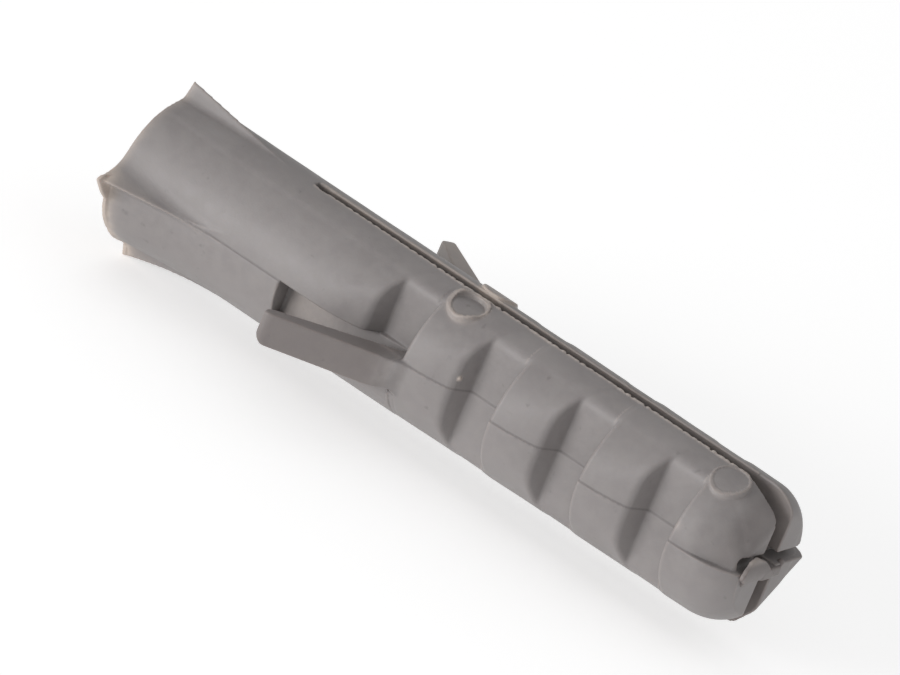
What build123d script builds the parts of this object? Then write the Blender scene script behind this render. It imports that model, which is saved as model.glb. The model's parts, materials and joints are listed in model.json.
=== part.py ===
from build123d import *
import os

# Split expansion plug for an 8 mm hole, in millimetres.
# The origin is the centre of the mouth, +X runs along the bore to the nose, the slit lies in the XZ
# plane, and the front leg is on the -Y side. The rear leg is the front one turned half a turn about X.

# Body: a slight draft in the mouth and in the legs, with a true cylinder between them
LENGTH = 40.0
MOUTH_R = 3.88
BODY_R = 3.84
LAND_START = 5.9
SHOULDER_R = 3.8
NOSE_ROUND = 2.9  # radius that rounds the nose
LEG_END = 39.45  # the rounding is cut off flat here, and only the web goes on
OUTSIDE = BODY_R + 2.0  # half-width of a tool that reaches past the body

# Bore: straight in the neck, then narrowing so that a screw drives the legs apart
BORE_R = 2.75
BORE_STRAIGHT = 7.5
PILOT_R = 1.35
PILOT_START = 12.5
PILOT_END_R = 0.9
PILOT_END = 37.2

# Slit
SLIT_START = 8.55
SLIT_WIDTH = 0.7
ROOT_GAP = 0.02  # between a leg and the neck

# Mouth fins: reach of the tip from the bore's axis, run along the neck, turn about +X from +Z
FINS = {"top": (4.75, 5.8, 0), "front": (5.45, 5.4, 90), "bottom": (5.3, 5.8, 180), "rear": (5.45, 5.4, 270)}
FIN_FOOT_R = 3.0
FIN_SLOPE = 0.52  # half-width gained for each millimetre down from the ridge

# Saw teeth on the back of each leg
TEETH = 4
FIRST_LEDGE = 18.5
PITCH = 5.7
VALLEY_R = 2.05
VALLEY_RUN = 2.27
FACET_R = 3.2
FACET_RUN = 0.93
BACK_RUN = 3.0

# Tongue and its pocket, on the -Z side of the front leg's back
TONGUE_HINGE_X = 18.6
TONGUE_HINGE_R = 3.2
TONGUE_KNUCKLE_R = 0.6
TONGUE_LENGTH = 7.4
TONGUE_THICKNESS = 0.95
TONGUE_WIDTH = 1.8
FRONT_TONGUE_ANGLE = 32.0  # how far it stands out when free
REAR_TONGUE_ANGLE = 35.0
TONGUE_CORNER = 0.4
KNUCKLE_CLEARANCE = 0.03
SIDE_CLEARANCE = 0.05
POCKET_START = 10.7

# Cross slot and web at the nose
CROSS_SLOT_START = 38.4
CROSS_SLOT_TOP = 0.7
CROSS_SLOT_REACH = 2.7
WEB_START = 38.4
WEB_BOTTOM = -0.7
WEB_TOP = 0.25
WEB_GAP = 0.02


def block(x, y, z):
    """Box between pairs of limits."""
    middle = [(lo + hi) / 2 for lo, hi in (x, y, z)]
    size = [hi - lo for lo, hi in (x, y, z)]
    return Pos(*middle) * Box(*size)


def turned(outline):
    """Solid of revolution about the bore's axis, from an outline of (x, radius) edges."""
    return revolve(make_face(outline), Axis.X)


def body_blank():
    """The plug's outside with no cuts: a rod with a rounded nose."""
    shoulder = LENGTH - NOSE_ROUND
    flat_r = SHOULDER_R - NOSE_ROUND
    outline = Polyline(
        (LENGTH, flat_r),
        (LENGTH, 0),
        (0, 0),
        (0, MOUTH_R),
        (LAND_START, BODY_R),
        (SLIT_START, BODY_R),
        (shoulder, SHOULDER_R),
    )
    outline += CenterArc((shoulder, flat_r), NOSE_ROUND, 0, 90)
    return turned(outline) & block((0, LEG_END), (-OUTSIDE, OUTSIDE), (-OUTSIDE, OUTSIDE))


def bore():
    """Straight guide in the neck, a funnel, and a narrow pilot that ends short of the nose."""
    return turned(
        Polyline(
            (-1, 0),
            (-1, BORE_R),
            (BORE_STRAIGHT, BORE_R),
            (PILOT_START, PILOT_R),
            (PILOT_END, PILOT_END_R),
            (PILOT_END, 0),
            close=True,
        )
    )


def fin(tip_r, run, turn):
    """Flared fin: a wedge that is tallest at the mouth and dies out along the neck."""

    def section(x, ridge_r):
        half = FIN_SLOPE * (ridge_r - FIN_FOOT_R)
        corners = Polyline((-half, FIN_FOOT_R), (half, FIN_FOOT_R), (0, ridge_r), close=True)
        return Plane.YZ.offset(x) * make_face(corners)

    return Rot(turn, 0, 0) * loft([section(0, tip_r), section(run, BODY_R - 0.01)], ruled=True)


def neck_sleeve():
    """Unslit tube with four fins round its mouth."""
    sleeve = body_blank() & block((0, SLIT_START), (-OUTSIDE, OUTSIDE), (-OUTSIDE, OUTSIDE))
    for tip_r, run, turn in FINS.values():
        sleeve += fin(tip_r, run, turn)
    return sleeve - bore()


def tooth_cut(ledge_x, z_from):
    """Notch in front of one ledge: a gentle back, a steep facet and a flat valley."""
    facet_end = ledge_x - VALLEY_RUN
    facet_start = facet_end - FACET_RUN
    back_start = facet_start - BACK_RUN
    notch = Polyline(
        (back_start, -BODY_R),
        (facet_start, -FACET_R),
        (facet_end, -VALLEY_R),
        (ledge_x, -VALLEY_R),
        (ledge_x, -OUTSIDE),
        (back_start, -OUTSIDE),
        close=True,
    )
    return Pos(0, 0, z_from) * extrude(make_face(notch), OUTSIDE - z_from)


def knuckle(radius, z_from, z_to):
    """Round root of the tongue, about the line where it bends."""
    middle = Pos(TONGUE_HINGE_X, -TONGUE_HINGE_R, (z_from + z_to) / 2)
    return middle * Cylinder(radius, z_to - z_from)


def pocket():
    """Room that the tongue folds into, with a round seat for its root."""
    seat_r = TONGUE_KNUCKLE_R + KNUCKLE_CLEARANCE
    bottom = -(TONGUE_WIDTH + SIDE_CLEARANCE)
    floor = -(TONGUE_HINGE_R - seat_r)
    room = block((POCKET_START, TONGUE_HINGE_X), (-OUTSIDE, floor), (bottom, 0))
    return room + knuckle(seat_r, bottom, 0)


def leg(cross_slot):
    """The front leg. The other one differs only in its share of the cross slot."""
    half = block((SLIT_START + ROOT_GAP, LENGTH), (-OUTSIDE, -SLIT_WIDTH / 2), (-OUTSIDE, OUTSIDE))
    solid = (body_blank() & half) - bore() - pocket() - cross_slot
    for number in range(TEETH):
        # the tongue takes the lower half of the first notch
        z_from = 0 if number == 0 else -OUTSIDE
        solid -= tooth_cut(FIRST_LEDGE + number * PITCH, z_from)
    return solid


def tongue(angle):
    """The front tongue, shaped lying flush with the body and then swung out."""
    inner = -(TONGUE_HINGE_R + TONGUE_KNUCKLE_R - TONGUE_THICKNESS)
    tip = TONGUE_HINGE_X - TONGUE_LENGTH
    z_limits = (-TONGUE_WIDTH, -SIDE_CLEARANCE)
    plate = block((tip, TONGUE_HINGE_X), (-OUTSIDE, inner), z_limits)
    plate = fillet(plate.edges().filter_by(Axis.Y).group_by(Axis.X)[0], TONGUE_CORNER)
    folded = (plate + knuckle(TONGUE_KNUCKLE_R, *z_limits)) & body_blank()
    bend = Axis((TONGUE_HINGE_X, -TONGUE_HINGE_R, 0), (0, 0, 1))
    return folded.rotate(bend, angle)


def half_turn(solid):
    """The same solid on the other side of the bore."""
    return Rot(180, 0, 0) * solid


def cross_slot(y, z):
    """Slot across the nose, in one leg."""
    return block((CROSS_SLOT_START, LENGTH + 1), y, z)


def nose_web():
    """Thin web that closes the slit at the nose, clear of the front leg."""
    edge = SLIT_WIDTH / 2
    return block((WEB_START, LENGTH), (WEB_GAP - edge, edge), (WEB_BOTTOM, WEB_TOP))


parts = {
    "neck_sleeve": neck_sleeve(),
    "front_leg": leg(cross_slot((-CROSS_SLOT_REACH, 0), (0, CROSS_SLOT_TOP))),
    "rear_leg": half_turn(leg(cross_slot((-OUTSIDE, 0), (-CROSS_SLOT_TOP, 0)))),
    "front_tongue": tongue(FRONT_TONGUE_ANGLE),
    "rear_tongue": half_turn(tongue(REAR_TONGUE_ANGLE)),
    "nose_web": nose_web(),
}

os.makedirs("parts", exist_ok=True)
for name, part in parts.items():
    export_step(part, f"parts/{name}.step")
    print(name, part.volume)
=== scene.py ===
import json
import math

import bmesh
import bpy
import numpy as np
import openvdb
from mathutils import Matrix, Vector

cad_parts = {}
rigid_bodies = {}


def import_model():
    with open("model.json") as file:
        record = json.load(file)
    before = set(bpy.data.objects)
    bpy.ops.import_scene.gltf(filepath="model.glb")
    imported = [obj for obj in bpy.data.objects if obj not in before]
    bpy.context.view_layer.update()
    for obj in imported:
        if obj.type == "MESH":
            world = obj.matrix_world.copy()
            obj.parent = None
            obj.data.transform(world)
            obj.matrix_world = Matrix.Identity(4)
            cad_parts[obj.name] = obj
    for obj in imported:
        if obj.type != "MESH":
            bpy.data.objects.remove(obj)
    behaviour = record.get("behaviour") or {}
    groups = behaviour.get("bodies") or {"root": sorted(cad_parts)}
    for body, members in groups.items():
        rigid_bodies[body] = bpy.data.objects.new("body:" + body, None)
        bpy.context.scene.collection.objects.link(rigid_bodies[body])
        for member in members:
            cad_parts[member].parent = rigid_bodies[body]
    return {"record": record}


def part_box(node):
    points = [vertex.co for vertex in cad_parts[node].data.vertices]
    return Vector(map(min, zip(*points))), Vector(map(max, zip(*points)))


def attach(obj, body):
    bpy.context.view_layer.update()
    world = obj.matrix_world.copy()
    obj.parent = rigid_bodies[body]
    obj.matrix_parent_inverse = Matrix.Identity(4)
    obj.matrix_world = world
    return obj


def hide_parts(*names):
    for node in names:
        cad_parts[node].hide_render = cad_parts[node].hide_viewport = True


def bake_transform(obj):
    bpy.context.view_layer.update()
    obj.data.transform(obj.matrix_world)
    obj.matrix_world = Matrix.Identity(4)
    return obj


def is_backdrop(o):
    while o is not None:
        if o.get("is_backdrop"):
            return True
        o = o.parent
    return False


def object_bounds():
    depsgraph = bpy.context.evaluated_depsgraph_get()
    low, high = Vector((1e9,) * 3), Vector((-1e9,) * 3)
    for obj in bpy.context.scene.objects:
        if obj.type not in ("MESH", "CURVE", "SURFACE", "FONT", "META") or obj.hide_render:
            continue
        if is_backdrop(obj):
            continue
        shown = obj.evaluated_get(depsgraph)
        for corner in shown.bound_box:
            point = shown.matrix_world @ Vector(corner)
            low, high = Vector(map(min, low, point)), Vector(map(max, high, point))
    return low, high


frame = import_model()
cad_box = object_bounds()

# The plug is carved as a field of distances, in millimetres in the CAD's frame: negative in the
# plastic, positive in the air. Each working piece is meshed from it, so that edges come out softly
# rounded, as moulded. u is the distance from the slit's plane towards a leg's back, and v runs along
# Z on the front leg and against it on the rear one, because the rear leg is the front one turned
# half a turn. k is the width over which two surfaces are rounded together.
MM = 1000.0
TURN = 6.283  # a whole turn in radians, near enough
JOINTS = {joint["name"]: joint for joint in frame["record"]["behaviour"]["joints"]}
HINGE = JOINTS["front_tongue_fold"]
TONGUE_ANGLE = math.radians(HINGE["range_deg"][1])
REAR_TONGUE_ANGLE = math.radians(JOINTS["rear_tongue_fold"]["range_deg"][1])
HINGE_X = HINGE["pos_m"][0] * MM
HINGE_U = -HINGE["pos_m"][1] * MM
LENGTH = cad_box[1].x * MM
SLIT_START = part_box("neck_sleeve")[1].x * MM
SLIT_WIDTH = -2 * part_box("front_leg")[1].y * MM
MOUTH_R, BODY_R, SHOULDER_R = 3.88, 3.84, 3.81
MOUTH_X = 0.02  # the mouth's rim is cut square here
BORE_R, BORE_STRAIGHT = 2.75, 7.5
COUNTERSINK, COUNTERSINK_RUN = 0.3, 0.35
PILOT_R, PILOT_START, PILOT_END_R, PILOT_END = 1.35, 12.5, 0.9, 37.2


def smooth_max(a, b, k):
    """The larger of two distances, with the crease between them rounded."""
    near = np.maximum(k - np.abs(a - b), 0) / k
    return np.maximum(a, b) + near * near * k / 4


def smooth_min(a, b, k):
    return -smooth_max(-a, -b, k)


def smooth_step(t):
    """0 below 0, 1 above 1, and smooth between."""
    t = np.clip(t, 0, 1)
    return t * t * (3 - 2 * t)


def cut(solid, tool, k):
    """Takes the tool's shape out of a solid, with the new edge rounded."""
    return smooth_max(solid, -tool, k)


def box(x, y, z, centre, half, rounding=0.0):
    """Distance to a box, given by its centre and half sizes, with rounded edges."""
    gaps = [np.abs(p - c) - h + rounding for p, c, h in zip((x, y, z), centre, half)]
    beyond = np.sqrt(sum(np.maximum(gap, 0) ** 2 for gap in gaps))
    within = np.minimum(np.maximum(np.maximum(gaps[0], gaps[1]), gaps[2]), 0)
    return beyond + within - rounding


def from_point(x, y, z, point):
    """Distance from a point."""
    return np.sqrt((x - point[0]) ** 2 + (y - point[1]) ** 2 + (z - point[2]) ** 2)


def waves(x, y, z, size, seed, octaves):
    """Soft seeded unevenness between about -1 and 1, made of sine waves in scattered directions."""
    source = np.random.default_rng(seed)
    total = 0
    for octave in range(octaves):
        for _ in range(4):
            way = source.normal(size=3)
            way *= 2**octave * TURN / size / np.linalg.norm(way)
            phase = source.uniform(0, TURN)
            bend = np.sin(way[1] * x + way[2] * y + way[0] * z + phase)
            total = total + np.sin(way[0] * x + way[1] * y + way[2] * z + 1.3 * bend) / 2**octave
    return total / 4


def rounded_end(x, r, length, radius, rounding):
    """A rod that ends at a length, with its end rounded."""
    past = x - (length - rounding)
    out = r - (radius - rounding)
    corner = np.hypot(np.maximum(past, 0), np.maximum(out, 0))
    return corner + np.minimum(np.maximum(past, out), 0) - rounding


# Mouth fins: reach of the tip, run along the neck, the way they face in degrees from -Y towards +Z,
# and how widely they melt into the neck
FINS = ((5.5, 6.2, 0, 0.5), (4.735, 7.2, 90, 0.2), (5.42, 6.0, 180, 0.5), (5.29, 6.2, 270, 1.2))
FIN_FOOT_R = 2.9
RIDGE_HALF, FLANK_SLOPE, FLANK_HOLLOW = 0.05, 0.32, 0.12


def fin(x, y, z, tip_r, run, facing):
    """A flared fin with hollow flanks, tallest at the mouth, whose ridge dies out along the neck."""
    turn = math.radians(facing)
    out = -y * math.cos(turn) + z * math.sin(turn)
    side = y * math.sin(turn) + z * math.cos(turn)
    ridge = tip_r - (tip_r - BODY_R + 0.2) * x / run
    below = np.maximum(ridge - out, 0)
    half = RIDGE_HALF + FLANK_SLOPE * below + FLANK_HOLLOW * below**2
    wedge = (np.abs(side) - half) * 0.85  # about the true distance to the sloping flank
    ends = np.maximum(FIN_FOOT_R - out, x - run - 2.0)
    return np.maximum(smooth_max(wedge, out - ridge, 0.06), ends)


LOWER_SHIFT = 0.07  # how far the mould's lower half sits towards -Y
FAR_SPREAD = 0.17  # how far the rear leg stands off at the nose

# Saw teeth: each drops from its ledge over a sloping back and a steep facet to a flat valley
LEDGE_PITCH = 5.7
LEDGES = [18.5 + LEDGE_PITCH * number for number in range(4)]
TOOTH_SINK = 0.08  # of a tooth's back under the round body, at its ledge
TOOTH_FALL, TOOTH_FALL_RUN = 0.12, 2.5  # how much deeper it sinks, and over what run
VALLEY_U, VALLEY_RUN = 2.05, 2.27
FACET_U, FACET_RUN = 3.2, 0.56
BACK_RUN, BACK_RISE = 2.9, 0.45  # the slope starts this far above the body, so it bites in late


def back_sink(x, u):
    """How far the teeth's backs lie under the round body."""
    sink = 0
    for ledge in LEDGES:
        tooth = TOOTH_SINK + TOOTH_FALL * np.clip((x - ledge) / TOOTH_FALL_RUN, 0, 1)
        sink = np.where(x > ledge - 0.2, tooth, sink)
    return sink * np.clip(u / 2.5, 0, 1)


def back_plane(x, u):
    """Distance past the flat slope on a tooth's back, from a ledge to the next facet."""
    along = np.mod(x - LEDGES[0] + 0.3, LEDGE_PITCH) - 0.3
    toothed = (x > LEDGES[0] - LEDGE_PITCH) & (x < LEDGES[-1])
    slope = np.clip(along / BACK_RUN, 0, 1) * toothed
    clear_of_neck = 3 * np.clip((SLIT_START + 2 - x) / 2, 0, 1)
    top = BODY_R + BACK_RISE
    return u - top - clear_of_neck + (top - FACET_U) * slope


FLARE, FLARE_RUN, FLARE_SHARE_ABOVE = 0.42, 6.5, 0.4


def flare(x, y, z):
    """How far the neck swells at its mouth beside the front fin: most below it, less above it."""
    turn = np.arctan2(-z, -y)
    swell = FLARE * np.clip(1 - x / FLARE_RUN, 0, 1) ** 1.5
    below = smooth_step(turn / 0.3) * smooth_step((1.5 - turn) / 0.35)
    above = smooth_step(-turn / 0.3) * smooth_step((1.3 + turn) / 0.5)
    return swell * below + FLARE_SHARE_ABOVE * swell * above


# The nose. Each pair is for the rear leg and for the front one, and each is low or high, for below
# and above the parting line. The flat cuts a leg's nose askew, and faces as given along X, u and v.
NOSE_FLAT, FLAT_DISTANCES = (0.699, 0.499, 0.513), (29.15, 28.82)
LOW_ROUNDINGS, HIGH_ROUNDINGS = (1.9, 2.9), (2.3, 2.9)
LOW_ENDS, HIGH_ENDS = (39.55, 39.44), (39.35, 39.15)
HIGH_SHORT = 0.2  # how much shorter the nose is above the parting line
CONE_START, CONE_SLOPE = 36.9, 0.5
PARTING_Z, REAR_PARTING_Z = 0.03, 0.2


def rod(x, y, z, u, v, radius):
    """The body with its nose, which ends a little differently above and below, front and rear."""
    r = np.hypot(u + back_sink(x, u), v)
    rear = y > 0
    along, out, across = NOSE_FLAT
    flat = along * x + out * u + across * v - np.where(rear, *FLAT_DISTANCES)
    lower = rounded_end(x, r, LENGTH, radius, np.where(rear, *LOW_ROUNDINGS))
    lower = np.maximum(lower, x - np.where(rear, *LOW_ENDS))
    lower = np.where(rear, smooth_max(lower, flat, 0.2), lower)
    upper = rounded_end(x, r, LENGTH - HIGH_SHORT, radius, np.where(rear, *HIGH_ROUNDINGS))
    cone = (r + CONE_SLOPE * (x - CONE_START) - BODY_R) * 0.9
    upper = np.where(rear, upper, smooth_max(smooth_max(upper, cone, 0.3), flat, 0.15))
    upper = smooth_max(upper, x - np.where(rear, *HIGH_ENDS), 0.25)
    above_parting = z - np.where(y < 0, PARTING_Z, REAR_PARTING_Z)
    return smooth_max(lower, np.minimum(above_parting, upper), 0.06)


def outside(x, y, z, u, v):
    """The plug's outside with no cuts."""
    places, radii = (0, 5, SLIT_START, LENGTH - 3), (MOUTH_R, BODY_R, BODY_R, SHOULDER_R)
    radius = np.interp(x, places, radii) + flare(x, y, z)
    radius = radius + 0.010 * waves(x, y, z, size=7.0, seed=3, octaves=2)
    solid = rod(x, y, z, u, v, radius)
    for tip_r, run, facing, melt in FINS:
        solid = smooth_min(solid, fin(x, y, z, tip_r, run, facing), melt)
    return np.maximum(solid, MOUTH_X - x)


def bore(x, y, z):
    """The screw's way in: straight in the neck, a funnel, then a narrow pilot."""
    places = (0, COUNTERSINK_RUN, BORE_STRAIGHT, PILOT_START, PILOT_END)
    radius = np.interp(x, places, (BORE_R + COUNTERSINK, BORE_R, BORE_R, PILOT_R, PILOT_END_R))
    return np.maximum((np.hypot(y, z) - radius) * 0.96, x - PILOT_END)


def slit(x, y):
    """The slit, which starts blunt and narrow, then runs out through the nose."""
    half = SLIT_WIDTH / 2 * np.clip(0.55 + (x - SLIT_START) / 1.2, 0, 1)
    return np.maximum(np.abs(y) - half, SLIT_START - x)


def facet(x, u, ledge):
    """Distance past the steep facet that leads down to the valley in front of a ledge."""
    start = ledge - VALLEY_RUN - FACET_RUN
    steep = math.hypot(FACET_RUN, FACET_U - VALLEY_U)
    return ((x - start) * (FACET_U - VALLEY_U) + (u - FACET_U) * FACET_RUN) / steep


def teeth(solid, x, u, v):
    """Keeps the solid in slabs from each ledge to the next facet, over a valley."""
    valley = smooth_max(solid, u - VALLEY_U, 0.35)
    solid = smooth_max(solid, back_plane(x, u), 0.45)
    slab = np.maximum(v, x - LEDGES[0] - 0.15)  # the tongue's root fills the first notch's lower half
    slab = np.minimum(slab, facet(x, u, LEDGES[0]))
    for ledge, following in zip(LEDGES, LEDGES[1:]):
        slab = np.minimum(slab, np.maximum(ledge - x, facet(x, u, following)))
    slab = np.minimum(slab, LEDGES[-1] - x)
    return smooth_min(valley, smooth_max(solid, slab, 0.22), 0.12)


POCKET_START, POCKET_DEPTH = 10.71, 0.63
POCKET_END = HINGE_X - 0.15
TONGUE_WIDTH, TONGUE_RISE = 1.8, 0.62  # the rise is its outer face's height above the hinge
SIDE_ROOM, FLOOR_ROOM = 0.05, 0.17


def wedge_back(run):
    """The height of a tongue's inner face above its hinge: it thickens towards its root."""
    return np.maximum(-1.12 + 0.138 * run, -0.85 - 1.2 * run)


def pocket(x, u, v):
    """The room beside the back that the tongue folds into."""
    under_tongue = HINGE_U + wedge_back(HINGE_X - x) - FLOOR_ROOM
    floor = smooth_min(HINGE_U - POCKET_DEPTH, under_tongue, 0.4)
    ends = np.maximum(POCKET_START - x, x - POCKET_END)
    sides = np.maximum(v, -TONGUE_WIDTH - SIDE_ROOM - v)
    return smooth_max(np.maximum(ends, sides), floor - u, 0.1)


# Ejector pins' prints on the upper side: how far along, and how strongly each stands up on the near
# leg and on the far one
PINS = ((19.6, 1.3, 1.0), (36.4, 0.22, -0.7))
PIN_Y, PIN_R = 1.37, 1.0
PIN_FOOT_Z, RING_FOOT_Z = 2.6, 2.8


def pin_mark(solid, x, y, z, along, near_height, far_height):
    """A pin's round print: on the near leg a sunk floor in a ragged ring, on the far one a disc."""
    away = np.hypot(x - along, np.abs(y) - PIN_Y) - PIN_R
    surface = np.sqrt(np.maximum(BODY_R**2 - y * y, 4))
    floor = surface + near_height * (-0.07 + 0.15 * (np.abs(y) - PIN_Y))
    plinth = np.maximum(np.maximum(away, z - floor), PIN_FOOT_Z - z)
    near = smooth_min(solid, plinth, 0.04)
    near = cut(near, np.maximum(away + 0.12, floor - z), 0.05)
    lip = np.maximum(surface, floor) + near_height * (0.07 + 0.06 * np.sin(2.2 * x + 3 * y + 1))
    width = 0.06 + 0.03 * near_height * (1 + np.sin(1.7 * x - 2 * y - 1.5))
    ring = np.maximum(np.maximum(np.abs(away + 0.03) - width, z - lip), RING_FOOT_Z - z)
    near = smooth_min(near, ring, 0.06)
    disc = np.maximum(np.maximum(away, z - surface - 0.14 * far_height), PIN_FOOT_Z - z)
    far = smooth_min(solid, disc, 0.05)
    return np.where(y < 0, near, far)


# The film's edge, from the bottom fin round to the front one: degrees from -Y towards +Z, and reach
FILM_TURNS = (-97, -93, -88, -84, -79, -54, -50, -46, -30, -17, -6, 0, 2, 5)
FILM_REACH = (3.6, 5.2, 5.25, 4.6, 4.46, 4.34, 4.27, 4.36, 4.46, 4.55, 5.3, 5.8, 5.5, 3.6)
FILM_HALF = 0.13  # half of its thickness
BELL_R, BELL_SLOPE, BELL_RUN, BELL_FOOT_R = 4.5, 0.55, 1.2, 3.2


def flash_lip(x, y, z):
    """Thin film pressed out round the mouth, with the bell-shaped swelling behind it."""
    reach = np.interp(np.degrees(np.arctan2(z, -y)), FILM_TURNS, FILM_REACH)
    r = np.hypot(y, z)
    film = smooth_max(r - reach, np.abs(x - FILM_HALF) - FILM_HALF, 0.1)
    bell = (r - np.minimum(reach, BELL_R) + BELL_SLOPE * x) * 0.88
    return np.maximum(smooth_min(film, bell, 0.1), np.maximum(BELL_FOOT_R - r, x - BELL_RUN))


# The flash is a thread: its place beside the slit's middle and under the round back, and its radii
FLASH_Y, FLASH_DEPTH = 0.37, 0.07
FLASH_R, FLASH_RAGGED, FAR_FLASH_R = 0.085, 0.024, 0.06
FLASH_START, FLASH_END = SLIT_START + 0.9, 36.8


def slit_flash(x, y, z):
    """Ragged flash along the slit's upper edges."""
    ragged = np.sin(12.7 * x) * np.sin(2.3 * x + 1)
    ragged = ragged + 0.8 * np.sin(17.3 * x + 2) * np.sin(3.7 * x)
    size = np.where(y < 0, FLASH_R + FLASH_RAGGED * ragged, FAR_FLASH_R)
    thread = np.hypot(np.abs(y) - FLASH_Y, z - BODY_R + FLASH_DEPTH) - size
    return np.maximum(thread, np.maximum(FLASH_START - x, x - FLASH_END))


# The torn web's upper and lower edges, as Z against Y
WEB_TOP = ((-2.75, -2.5, -2.0, -1.4, -0.7, -0.2, 0.3), (0.05, 0.4, 0.72, 0.85, 0.62, 0.2, -0.3))
WEB_LOW = ((-2.75, -2.2, -1.95, -1.7, -0.6, 0.3), (-0.05, -0.4, -0.95, -0.5, -0.5, -0.5))
WEB_X, WEB_HALF, WEB_CURL = 39.64, 0.13, 0.3  # foremost place, half thickness, and how far it curls back


def curled_web(x, y, z):
    """Torn web at the nose, curled up over the cross slot and down over the front leg's end."""
    top, low = np.interp(y, *WEB_TOP), np.interp(y, *WEB_LOW)
    bulge = WEB_X - WEB_CURL * ((z - 0.1) / 0.8) ** 2
    edges = np.maximum(np.maximum(z - top, low - z), np.abs(y + 1.2) - 1.5)
    sheet = smooth_max(np.abs(x - bulge) - WEB_HALF, edges, 0.08)
    bridge = box(x, y, z, (39.2, 0.25, -0.2), (0.5, 0.8, 0.3), 0.1)
    shred = from_point(x, y, z, (39.45, 1.15, 0.15)) - 0.2
    return smooth_min(smooth_min(sheet, bridge, 0.15), shred, 0.1)


NIB, NIB_R, SCUFF = (21.49, -2.97, 0.66), 0.09, (35.75, -3.65, 0.9)


def nib(x, y, z):
    """Speck of stray plastic on the front leg's second facet."""
    return from_point(x, y, z, NIB) - NIB_R


STUB_RUN = 0.6  # how far up each tongue, from its hinge, the leg's own plastic goes
MOULDED_EDGE = 0.08  # rounding of the edges of the pocket, the bore and the slit

# The cross slot's share of each leg: centre and half sizes
NEAR_SLOT = ((LENGTH, -1.2, 0.36), (1.25, 1.2, 0.36))
FAR_SLOT = ((LENGTH, 3.0, 0.48), (1.6, 3.0, 0.28))


def plug(x, y, z):
    """The whole moulding, but for its tongues and the torn web."""
    y = y - FAR_SPREAD * np.clip((x - SLIT_START) / 30, 0, 1) * (y > 0)
    shifted = y + LOWER_SHIFT * np.clip(0.5 - z / 0.06, 0, 1)
    front = y < 0
    u = np.abs(shifted)
    v = np.where(front, z, -z)
    solid = outside(x, shifted, z, u, v)
    solid = teeth(solid, x, u, v)
    for along, near_height, far_height in PINS:
        solid = pin_mark(solid, x, y, z, along, near_height, far_height)
    solid = cut(solid, pocket(x, u, v), MOULDED_EDGE)
    # each tongue's root goes on into the leg, a little under the tongue's own skin
    stub = np.minimum(tongue(x, -u, v, TONGUE_ANGLE) + 0.02, 3)
    stub = stub + 0.2 * smooth_step((HINGE_X - x) / STUB_RUN)
    solid = smooth_min(solid, np.maximum(stub, HINGE_X - STUB_RUN - x), 0.3)
    solid = cut(solid, bore(x, y, z), MOULDED_EDGE)
    solid = cut(solid, slit(x, y), MOULDED_EDGE)
    cross_slot = np.minimum(box(x, y, z, *NEAR_SLOT, rounding=0.3), box(x, y, z, *FAR_SLOT))
    solid = cut(solid, cross_slot, 0.06)
    solid = smooth_min(solid, np.minimum(slit_flash(x, y, z), nib(x, y, z)), 0.05)
    return np.maximum(smooth_min(solid, flash_lip(x, y, z), 0.1), MOUTH_X - x)


TONGUE_LENGTHS = {"front": 7.55, "rear": 7.7}
TONGUE_CORNER = 0.7  # radius that rounds its outer corner


def tongue(x, y, z, angle, length=TONGUE_LENGTHS["front"]):
    """The front tongue: a wedge that springs out from the leg's back, thickest at its root."""
    run = (HINGE_X - x) * np.cos(angle) + (-y - HINGE_U) * np.sin(angle)
    rise = -(HINGE_X - x) * np.sin(angle) + (-y - HINGE_U) * np.cos(angle)
    across = np.abs(z + TONGUE_WIDTH / 2) - TONGUE_WIDTH / 2 + 0.01
    faces = smooth_max(rise - TONGUE_RISE, wedge_back(run) - rise, 0.1)
    round_back = BODY_R - 0.1 + 0.3 * np.clip(run, -0.5, 2)
    faces = smooth_max(faces, np.hypot(rise + HINGE_U, z) - round_back, 0.1)
    end = smooth_max(run - length, faces, 0.55)
    past_tip = np.maximum(run - length + TONGUE_CORNER, 0)
    past_side = np.maximum(-z - TONGUE_WIDTH + TONGUE_CORNER, 0)
    corner = np.hypot(past_tip, past_side) - TONGUE_CORNER + 0.01
    solid = smooth_max(smooth_max(end, across, 0.12), corner, 0.08)
    return np.maximum(solid, -0.35 - run)


# Pitches of the grids that the fields are read on
BODY_PITCH, TONGUE_PITCH, WEB_PITCH = 0.092, 0.08, 0.06
FAR_OUTSIDE = 3.0  # in pitches, where the grid stops counting


def surface(field, low, high, pitch):
    """Points and four-cornered faces of a field's surface in a box, and each point's layer in X."""
    counts = [int(math.ceil((b - a) / pitch)) + 1 for a, b in zip(low, high)]
    axes = [a + pitch * np.arange(n, dtype=np.float32) for a, n in zip(low, counts)]
    x, y, z = axes[0][:, None, None], axes[1][None, :, None], axes[2][None, None, :]
    values = np.ascontiguousarray(field(x, y, z), np.float32) / pitch
    values = np.clip(values, -FAR_OUTSIDE, FAR_OUTSIDE)
    for side in (0, -1):
        values[side] = FAR_OUTSIDE
        values[:, side] = FAR_OUTSIDE
        values[:, :, side] = FAR_OUTSIDE
    grid = openvdb.FloatGrid(FAR_OUTSIDE)
    grid.gridClass = openvdb.GridClass.LEVEL_SET
    grid.copyFromArray(values)
    points, _, faces = grid.convertToPolygons(isovalue=0.0, adaptivity=0.0)
    layers = np.floor(points[:, 0]).astype(int)
    return points * pitch + np.array(low), faces, layers


def moulding(x, y, z):
    """The body and its tongues as one, softly joined, for shading alone."""
    turned = np.sign(y)
    angle = np.where(y < 0, TONGUE_ANGLE, REAR_TONGUE_ANGLE)
    return smooth_min(plug(x, y, z), tongue(x, -turned * y, -turned * z, angle), 0.3)


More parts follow.
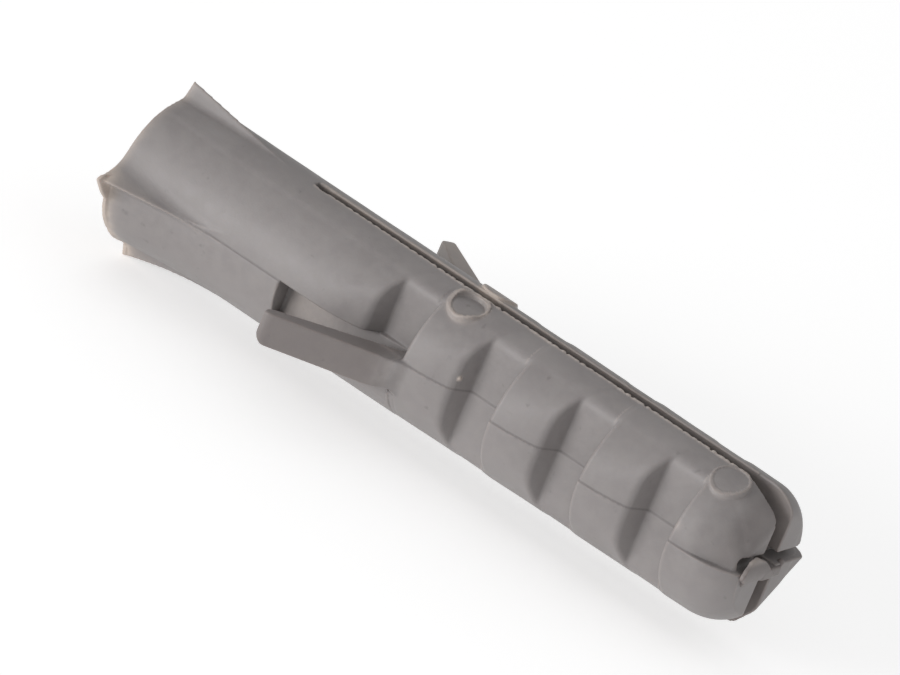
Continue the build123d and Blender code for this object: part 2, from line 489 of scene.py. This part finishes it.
def slopes(field, points):
    """A field's outward normals at points, and how sharply its surface bends there."""
    step = 0.045
    x, y, z = points.T
    middle = field(x, y, z)
    normals = np.empty_like(points)
    bend = -6 * middle  # the sum of the field's second differences along the three axes
    for axis in range(3):
        shift = np.zeros(3)
        shift[axis] = step
        ahead = field(x + shift[0], y + shift[1], z + shift[2])
        behind = field(x - shift[0], y - shift[1], z - shift[2])
        normals[:, axis] = ahead - behind
        bend = bend + ahead + behind
    normals /= np.maximum(np.linalg.norm(normals, axis=1, keepdims=True), 1e-9)
    return normals, bend / step**2


def placed(name, data):
    """A new object in the scene."""
    made = bpy.data.objects.new(name, data)
    bpy.context.scene.collection.objects.link(made)
    return made


def piece(name, points, faces, field, masks):
    """A closed mesh from points in millimetres, shaded by a field's slopes, that carries its masks."""
    used, faces = np.unique(faces[:, ::-1], return_inverse=True)
    faces = faces.reshape(-1, 4)
    points = points[used]
    normals, bend = slopes(field, points)
    mesh = bpy.data.meshes.new(name)
    mesh.vertices.add(len(points))
    mesh.vertices.foreach_set("co", (points / MM).astype(np.float32).ravel())
    mesh.loops.add(faces.size)
    mesh.loops.foreach_set("vertex_index", faces.astype(np.int32).ravel())
    mesh.polygons.add(len(faces))
    mesh.polygons.foreach_set("loop_start", np.arange(0, faces.size, 4, dtype=np.int32))
    mesh.update(calc_edges=True)
    close_ends(mesh)
    mesh.polygons.foreach_set("use_smooth", np.ones(len(mesh.polygons), bool))
    mesh.normals_split_custom_set_from_vertices(normals)
    x, y, z = points.T
    # given a painted highlight as a crest or painted shade as a hollow, the line where a tongue's root
    # meets its leg would show
    near_root = (np.abs(x - HINGE_X + 0.1) < 0.8) & (np.abs(y) > 2.9)
    near_root = near_root & (y * z > -0.1) & (np.abs(z) < 2.2)
    for label, values in {**masks(x, y, z), "edge": bend * ~near_root}.items():
        values = np.ascontiguousarray(np.broadcast_to(values, len(points)), np.float32)
        mesh.attributes.new(label, "FLOAT", "POINT").data.foreach_set("value", values)
    made = placed(name, mesh)
    return made


def close_ends(mesh):
    """Fills the openings where a piece was cut from the whole plug."""
    shell = bmesh.new()
    shell.from_mesh(mesh)
    rim = [edge for edge in shell.edges if edge.is_boundary]
    if rim:
        bmesh.ops.triangle_fill(shell, use_beauty=True, edges=rim)
        caps = [face for face in shell.faces if len(face.verts) == 3]
        bmesh.ops.recalc_face_normals(shell, faces=caps)
    shell.to_mesh(mesh)
    shell.free()


def pin_tan(x, y, z):
    """The pins' rings are light brown where they stand up, and so is the disc on the far leg."""
    tan = 0
    for along, near_height, far_height in PINS:
        ring = np.abs(np.hypot(x - along, np.abs(y) - PIN_Y) - PIN_R + 0.03)
        height = np.where(y < 0, near_height, far_height)
        tan = tan + 0.7 * np.exp(-((ring / 0.13) ** 2)) * (z > 2.4) * np.clip(height, 0, 1)
        far_disc = np.hypot(x - along, y - PIN_Y) < PIN_R + 0.2
        tan = tan + 0.5 * (far_disc & (z > 3.2)) * max(far_height, 0)
    return tan


def body_masks(x, y, z):
    """Where the body shows its flash's light brown or painted light, where it has painted shade, and
    where the mould's parting line runs.
    """
    r = np.hypot(y, z)
    # the mouth's film and the fins' tips are light brown as thin flash, and painted light besides, where
    # their backs lie in shade
    low_rim = smooth_step((0.6 - z) / 0.5) * (y < 0)
    rim = low_rim * np.exp(-((x / 0.5) ** 2)) + 0.45 * np.exp(-((x / 0.3) ** 2))
    fin_tip = np.clip((r - 4.3) / 1.0, 0, 1) * 0.5 * (x < 6)
    pins = pin_tan(x, y, z)
    slit_edge = 0.8 * np.exp(-(((np.abs(y) - 0.38) / 0.1) ** 2)) * (r > 3.7) * (x > SLIT_START)
    # painted shade inside the slit and the bore, and in the slit some painted light for light through
    # the nylon
    inner = (np.abs(y) < 0.36 + 0.2 * (y > 0)) & (x > SLIT_START) & (r < 3.72)
    bore_wall = (r < 2.9) & (x < SLIT_START)
    seam = smooth_step((x - 4.0) / 2.5) * (np.abs(y) > 1.5) * (x < LENGTH - 1.7)
    # painted light on the pocket's floor, strongest towards the mouth
    in_pocket = (x > 11) & (r < 3.3) & (np.abs(y) > 1.9) & (y * z > 0)
    pocket_floor = 0.35 * smooth_step((15.5 - x) / 3) * in_pocket
    speck = 1.1 * smooth_step((0.12 - nib(x, y, z)) / 0.1)
    scuff = 0.5 * np.exp(-from_point(x, y, z, SCUFF) ** 2 / 0.05)
    tan = 1.5 * rim + fin_tip + pins + slit_edge + pocket_floor + speck + scuff + 0.25 * inner
    # painted shade on the upper side of the front leg's nose
    nose = 0.35 * smooth_step((x - 37.6) / 0.8) * smooth_step(z / 0.4) * (y < 0)
    deep = np.maximum(0.45 * inner, np.maximum(bore_wall, nose))
    return {"tan": np.clip(tan, 0, 1.5), "deep": deep, "seam": seam}


def tongue_masks(x, y, z):
    """The front tongue gets painted shade, except at its root, and the rear one painted light in light
    brown.
    """
    # painted shade on the front tongue's broad face, and painted light on the rear tongue
    deep = 0.58 * (y < 0) * smooth_step((HINGE_X - x) / 1.3)
    return {"tan": 0.06 + 0.5 * (y > 0), "deep": deep, "seam": 0 * x}


def web_masks(x, y, z):
    """The web is light brown along its torn upper edge, and has painted shade below it."""
    tan = 0.5 * smooth_step((z - 0.5) / 0.3)
    deep = 0.6 * smooth_step((0.75 - z) / 0.3)
    return {"tan": tan, "deep": deep, "seam": 0 * x}


def build_body():
    """The neck and the two legs, cut from one surface so that they meet without a line."""
    # the slit's start falls halfway between two layers of the grid, and the cut is laid there
    layers_before = math.ceil((SLIT_START + 0.25) / BODY_PITCH) - 0.5
    low = np.array((SLIT_START - BODY_PITCH * layers_before, -6.3, -5.65))
    high = (LENGTH + 0.2, 5.85, 5.15)
    points, faces, layers = surface(plug, low, high, BODY_PITCH)
    seam = int(math.floor((SLIT_START - low[0]) / BODY_PITCH))
    points[layers == seam, 0] = SLIT_START
    in_neck = layers[faces].max(axis=1) <= seam
    middle = points[faces].mean(axis=1)
    to_front = middle[:, 1] < np.where(middle[:, 0] < 9.6, 0, 0.22)
    neck = piece("neck_skin", points, faces[in_neck], plug, body_masks)
    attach(neck, "sleeve")
    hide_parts("neck_sleeve")
    for side, mine in (("front", to_front), ("rear", ~to_front)):
        leg = piece(side + "_leg_skin", points, faces[~in_neck & mine], moulding, body_masks)
        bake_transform(leg)
        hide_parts(side + "_leg")


def build_tongues():
    """The two tongues, with their roots just under the skin of the legs."""
    angles = {"front": TONGUE_ANGLE, "rear": REAR_TONGUE_ANGLE}
    for side, turned in (("front", 1), ("rear", -1)):

        def field(x, y, z, side=side, turned=turned):
            sunk_root = 0.06 * smooth_step(x - HINGE_X + 0.8)
            solid = tongue(x, turned * y, turned * z, angles[side], TONGUE_LENGTHS[side])
            return solid + sunk_root

        low, high = (11.2, -8.1, -2.1), (19.6, -2.3, 0.3)
        if turned < 0:
            low, high = (11.2, 2.3, -0.3), (19.6, 8.1, 2.1)
        points, faces, _ = surface(field, low, high, TONGUE_PITCH)
        blade = piece(side + "_tongue_skin", points, faces, moulding, tongue_masks)
        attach(blade, side + "_tongue")
        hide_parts(side + "_tongue")


def build_web():
    """The torn web, which goes with the rear leg."""
    low, high = (38.4, -3.2, -1.3), (LENGTH, 1.8, 1.2)
    points, faces, _ = surface(curled_web, low, high, WEB_PITCH)
    web = piece("nose_web_skin", points, faces, curled_web, web_masks)
    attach(web, "rear_leg")
    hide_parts("nose_web")


build_body()
build_tongues()
build_web()


CAMERA_DISTANCE = 0.667  # in metres, like the floor's and the light's sizes


def camera():
    """A long lens, above the plug and on its front leg's side, and rolled, as the photo was taken."""
    aim = Vector((18.74, -0.18, 0.94)) / MM
    towards = Vector((0.40736, -0.82943, 0.38221)).normalized()
    right = Vector((0.75940, 0.54011, 0.36272)).normalized()
    up = towards.cross(right).normalized()
    right = up.cross(towards).normalized()
    data = bpy.data.cameras.new("camera")
    data.lens = 540
    data.sensor_width = 36
    data.clip_start, data.clip_end = 0.01, 20
    made = placed("camera", data)
    place = aim + towards * CAMERA_DISTANCE
    facing = Matrix((right, up, towards)).transposed().to_4x4()
    made.matrix_world = Matrix.Translation(place) @ facing
    bpy.context.scene.camera = made


camera()


class Graph:
    """Adds shader nodes to a material and joins them."""

    def __init__(self, name):
        self.material = bpy.data.materials.new(name)
        self.material.use_nodes = True
        self.nodes = self.material.node_tree.nodes
        self.shader = self.nodes["Principled BSDF"]

    def add(self, kind, output=0, settings=(), **inputs):
        """A new node's output. An input goes by its name, or by its number after an underscore."""
        node = self.nodes.new(kind)
        for label, value in dict(settings).items():
            setattr(node, label, value)
        for label, value in inputs.items():
            socket = node.inputs[int(label[1:])] if label[1:].isdigit() else node.inputs[label]
            self.join(value, socket)
        return node.outputs[output]

    def join(self, value, socket):
        if isinstance(value, bpy.types.NodeSocket):
            self.material.node_tree.links.new(value, socket)
        else:
            socket.default_value = value

    def maths(self, operation, a, b=0.0, c=0.0):
        return self.add("ShaderNodeMath", settings={"operation": operation}, _0=a, _1=b, _2=c)

    def ramp(self, value, low, high):
        """0 at one limit and 1 at the other, flat past both, and smooth between."""
        settings = {"interpolation_type": "SMOOTHSTEP"}
        return self.add("ShaderNodeMapRange", settings=settings, _0=value, _1=low, _2=high)

    def mix(self, amount, a, b):
        return self.add("ShaderNodeMix", 2, {"data_type": "RGBA"}, _0=amount, _6=a, _7=b)

    def noise(self, place, scale, detail=2.0, roughness=0.5):
        inputs = {"Vector": place, "Scale": scale, "Detail": detail, "Roughness": roughness}
        return self.add("ShaderNodeTexNoise", **inputs)

    def attribute(self, label):
        return self.add("ShaderNodeAttribute", 2, {"attribute_name": label})


# The nylon's colours, and those that it shades into
DARK_GREY, LIGHT_GREY = (0.208, 0.191, 0.189, 1), (0.232, 0.214, 0.212, 1)
MOTTLE_GREY, SPECK_GREY = (0.265, 0.250, 0.240, 1), (0.10, 0.09, 0.09, 1)
# a painted highlight for crests, and painted shade for hollows
CREST_HIGHLIGHT_TAN, HOLLOW_SHADE_BROWN = (0.40, 0.335, 0.30, 1), (0.10, 0.085, 0.08, 1)
# the thin flash's light brown, also laid on as painted light; painted shade; and the parting line's grey
THIN_TAN_AND_PAINTED_LIGHT, PAINTED_SHADE_BROWN, LINE_GREY = (0.46, 0.395, 0.35, 1), (0.085, 0.064, 0.058, 1), (0.09, 0.08, 0.08, 1)


def nylon():
    """Grey nylon, faintly mottled and specked: light brown where marked as flash or painted light, brown
    painted shade where marked, and painted highlights on crests and painted shade in hollows.
    """
    graph = Graph("nylon")
    place = graph.add("ShaderNodeTexCoord", 3)
    # noise scales are per metre
    cloud = graph.ramp(graph.noise(place, 260.0, 3.0), 0.3, 0.7)
    mottle = graph.ramp(graph.noise(place, 1500.0, 3.0, 0.6), 0.3, 0.7)
    grain = graph.noise(place, 9000.0, 2.0, 0.6)
    speck = graph.ramp(graph.noise(place, 1700.0, 2.0), 0.68, 0.80)
    colour = graph.mix(cloud, DARK_GREY, LIGHT_GREY)
    colour = graph.mix(graph.maths("MULTIPLY", mottle, 0.35), colour, MOTTLE_GREY)
    colour = graph.mix(graph.maths("MULTIPLY", speck, 0.3), colour, SPECK_GREY)
    edge = graph.attribute("edge")
    # painted highlight in light brown on convex crests, and painted brown shade in concave hollows
    crest = graph.ramp(edge, 1.5, 9.0)
    hollow = graph.ramp(graph.maths("MULTIPLY", edge, -1.0), 1.5, 9.0)
    colour = graph.mix(graph.maths("MULTIPLY", crest, 0.16), colour, CREST_HIGHLIGHT_TAN)
    colour = graph.mix(graph.maths("MULTIPLY", hollow, 0.15), colour, HOLLOW_SHADE_BROWN)
    patchy = graph.maths("MULTIPLY_ADD", mottle, 0.3, 0.5)
    # this mask lays on the thin flash's light brown, and painted light where shade would fall
    tan = graph.maths("MULTIPLY", graph.attribute("tan"), patchy)
    colour = graph.mix(tan, colour, THIN_TAN_AND_PAINTED_LIGHT)
    # painted shade: where marked, the colour darkens towards brown
    deep = graph.maths("MULTIPLY", graph.attribute("deep"), 0.62)
    colour = graph.mix(deep, colour, PAINTED_SHADE_BROWN)
    # the parting line is dark within 0.03 mm of its height, and gone 0.08 mm from it
    height = graph.add("ShaderNodeSeparateXYZ", 2, _0=place)
    away = graph.maths("ABSOLUTE", graph.maths("SUBTRACT", height, 0.04 / MM))
    line = graph.ramp(away, 0.08 / MM, 0.03 / MM)
    line = graph.maths("MULTIPLY", line, graph.attribute("seam"))
    colour = graph.mix(graph.maths("MULTIPLY", line, 0.24), colour, LINE_GREY)
    graph.join(colour, graph.shader.inputs["Base Color"])
    graph.join(graph.maths("MULTIPLY_ADD", mottle, 0.12, 0.44), graph.shader.inputs["Roughness"])
    bump = graph.maths("MULTIPLY_ADD", mottle, 0.8, grain)
    normal = graph.add("ShaderNodeBump", Strength=0.25, Distance=0.00002, Height=bump)
    graph.join(normal, graph.shader.inputs["Normal"])
    graph.shader.inputs["Specular IOR Level"].default_value = 0.35
    graph.shader.inputs["Subsurface Weight"].default_value = 0.12
    graph.shader.inputs["Subsurface Radius"].default_value = (1.0, 0.75, 0.6)
    graph.shader.inputs["Subsurface Scale"].default_value = 0.0004
    return graph.material


skin = nylon()
for moulded in bpy.context.scene.objects:
    if moulded.type == "MESH":
        moulded.data.materials.clear()
        moulded.data.materials.append(skin)


FLOOR_HALF = 3


def floor():
    """A pale plane under the plug, lit a little by itself, for the photo's white background."""
    mesh = bpy.data.meshes.new("floor")
    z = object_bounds()[0].z
    corners = [(FLOOR_HALF * x, FLOOR_HALF * y, z) for x, y in ((-1, -1), (1, -1), (1, 1), (-1, 1))]
    mesh.from_pydata(corners, [], [(0, 1, 2, 3)])
    made = placed("floor", mesh)
    material = bpy.data.materials.new("floor")
    material.use_nodes = True
    shader = material.node_tree.nodes["Principled BSDF"]
    shader.inputs["Base Color"].default_value = (0.86, 0.86, 0.86, 1)
    shader.inputs["Roughness"].default_value = 0.9
    shader.inputs["Emission Color"].default_value = (1, 1, 1, 1)
    shader.inputs["Emission Strength"].default_value = 0.42
    mesh.materials.append(material)
    made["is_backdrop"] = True


floor()


def light(name, towards, distance, size, power):
    """A square area light that faces the plug's middle."""
    data = bpy.data.lights.new(name, "AREA")
    data.size = size
    data.energy = power
    made = placed(name, data)
    way = Vector(towards).normalized()
    made.location = Vector((0.02, 0, 0)) + way * distance
    made.rotation_mode = "QUATERNION"
    made.rotation_quaternion = way.to_track_quat("Z", "Y")


def sky():
    """Even white light from all round."""
    world = bpy.data.worlds.new("world")
    world.use_nodes = True
    background = world.node_tree.nodes["Background"]
    background.inputs["Color"].default_value = (1, 1, 1, 1)
    background.inputs["Strength"].default_value = 0.58
    bpy.context.scene.world = world


light("key", towards=(-0.52, -0.84, 0.06), distance=0.6, size=0.35, power=4.0)
sky()
bpy.context.scene.view_settings.view_transform = "Standard"
